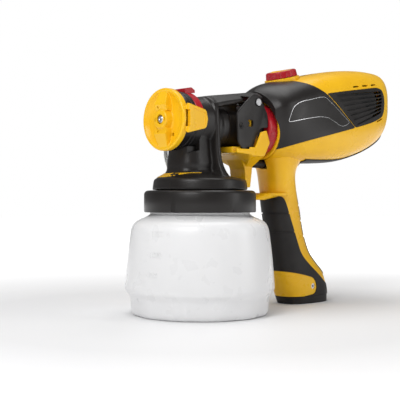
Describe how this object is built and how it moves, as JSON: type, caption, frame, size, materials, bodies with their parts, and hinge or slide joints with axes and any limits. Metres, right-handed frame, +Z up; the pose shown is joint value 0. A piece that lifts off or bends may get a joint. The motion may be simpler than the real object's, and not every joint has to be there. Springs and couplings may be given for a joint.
{
  "type": "handheld turbine paint sprayer",
  "caption": "Hand-held electric paint sprayer: turbine motor handle, detachable spray head with trigger and air cap, and a screw-on paint container.",
  "frame": {"origin": "centre of the paint container's flat foot, on the surface it stands on", "axes": "+Z up, nozzle towards -X, motor and handle towards +X, the user's left side towards -Y"},
  "size_m": [0.3505, 0.141, 0.2504],
  "materials": {
    "yellow_plastic": "satin",
    "charcoal_plastic": "satin",
    "black_plastic": "matte",
    "soft_grip": "matte",
    "red_plastic": "satin",
    "filter_foam": "matte",
    "steel": "brushed",
    "circuit_board": "satin",
    "turbine_metal": "satin",
    "copper": "satin",
    "lamination": "matte",
    "carbon": "matte",
    "seal_rubber": "matte",
    "white_plastic": "satin",
    "nozzle_brass": "satin",
    "clear_hose": "glossy",
    "milky_plastic": "satin"
  },
  "bodies": {
    "gun": {"housing_left": "yellow_plastic", "housing_right": "yellow_plastic", "side_cover_left": "charcoal_plastic", "side_cover_right": "charcoal_plastic", "grip_sleeve": "soft_grip", "back_spine": "soft_grip", "foot_cap": "soft_grip", "finger_rest": "yellow_plastic", "knob_bezel": "yellow_plastic", "potentiometer": "steel", "speed_board": "circuit_board", "micro_switch": "black_plastic", "coupling_collar": "yellow_plastic", "air_duct": "black_plastic", "turbine_housing": "turbine_metal", "stator": "lamination", "motor_bearings": "steel", "motor_frame": "black_plastic", "carbon_brushes": "carbon", "cord_bush": "seal_rubber", "cord_clamp": "black_plastic", "housing_screws": "steel"},
    "left_grille": {"filter_grille_left": "charcoal_plastic", "air_filter_left": "filter_foam"},
    "right_grille": {"filter_grille_right": "charcoal_plastic", "air_filter_right": "filter_foam"},
    "knob": {"power_knob": "red_plastic", "knob_cap": "yellow_plastic", "knob_shaft": "steel"},
    "plunger": {"switch_plunger": "soft_grip"},
    "lock": {"lock_ring": "red_plastic"},
    "rotor": {"motor_shaft": "steel", "armature": "copper", "commutator": "copper", "impeller_front": "turbine_metal", "impeller_rear": "turbine_metal"},
    "head": {"spray_head": "charcoal_plastic", "lid_plate": "yellow_plastic", "head_cover_left": "charcoal_plastic", "head_cover_right": "charcoal_plastic", "head_screws": "steel", "trigger_pin": "steel", "needle_packing": "white_plastic", "nozzle": "nozzle_brass", "nozzle_seal": "seal_rubber", "vent_hose": "clear_hose", "vent_valve": "black_plastic", "suction_tube": "white_plastic", "duct_seal": "seal_rubber", "container_seal": "seal_rubber"},
    "trigger": {"trigger": "yellow_plastic"},
    "needle": {"needle": "steel", "needle_spring": "steel"},
    "air_cap": {"air_cap": "yellow_plastic"},
    "union_nut": {"union_nut": "black_plastic"},
    "width_ring": {"spray_width_ring": "red_plastic"},
    "collar": {"lid_collar": "charcoal_plastic"},
    "container": {"container": "milky_plastic"}
  },
  "joints": [
    {"name": "grille_left_release", "type": "slide", "parent": "gun", "child": "left_grille", "axis": [0, -1, 0], "range_m": [0, 0.02]},
    {"name": "grille_right_release", "type": "slide", "parent": "gun", "child": "right_grille", "axis": [0, 1, 0], "range_m": [0, 0.02]},
    {"name": "power_knob_turn", "type": "hinge", "parent": "gun", "child": "knob", "pos_m": [0.116, 0, 0.232], "axis": [-0.2419, 0, 0.9703], "range_deg": [-135, 135]},
    {"name": "switch_press", "type": "slide", "parent": "gun", "child": "plunger", "axis": [1, 0, 0], "range_m": [0, 0.004], "stiffness_N_per_m": 400, "springref_m": -0.002},
    {"name": "lock_ring_turn", "type": "hinge", "parent": "gun", "child": "lock", "pos_m": [0.073, 0, 0.1775], "axis": [1, 0, 0], "range_deg": [0, 45]},
    {"name": "turbine_spin", "type": "hinge", "parent": "gun", "child": "rotor", "pos_m": [0.19, 0, 0.199], "axis": [1, 0, 0], "continuous": true},
    {"name": "head_release", "type": "slide", "parent": "gun", "child": "head", "axis": [-1, 0, 0], "range_m": [0, 0.07]},
    {"name": "trigger_pull", "type": "hinge", "parent": "head", "child": "trigger", "pos_m": [0.052, 0, 0.2017], "axis": [0, -1, 0], "range_deg": [0, 8], "stiffness_Nm_per_rad": 2, "springref_deg": -8.59},
    {"name": "needle_slide", "type": "slide", "parent": "head", "child": "needle", "axis": [1, 0, 0], "range_m": [0, 0.0031], "stiffness_N_per_m": 600, "springref_m": -0.005, "deforming": ["needle_spring"]},
    {"name": "air_cap_turn", "type": "hinge", "parent": "head", "child": "air_cap", "pos_m": [-0.045, 0, 0.181], "axis": [1, 0, 0], "range_deg": [-40, 40]},
    {"name": "union_nut_turn", "type": "hinge", "parent": "head", "child": "union_nut", "pos_m": [-0.033, 0, 0.181], "axis": [1, 0, 0], "range_deg": [0, 90]},
    {"name": "width_ring_turn", "type": "hinge", "parent": "head", "child": "width_ring", "pos_m": [-0.022, 0, 0.181], "axis": [1, 0, 0], "range_deg": [-15, 15]},
    {"name": "collar_turn", "type": "hinge", "parent": "head", "child": "collar", "pos_m": [0, 0, 0.106], "axis": [0, 0, 1], "range_deg": [0, 60]},
    {"name": "container_release", "type": "slide", "parent": "head", "child": "container", "axis": [0, 0, -1], "range_m": [0, 0.125]}
  ],
  "couplings": [
    {"joint": "needle_slide", "follows": "trigger_pull", "m_per_rad": 0.0207},
    {"joint": "switch_press", "follows": "trigger_pull", "m_per_rad": 0.028}
  ]
}
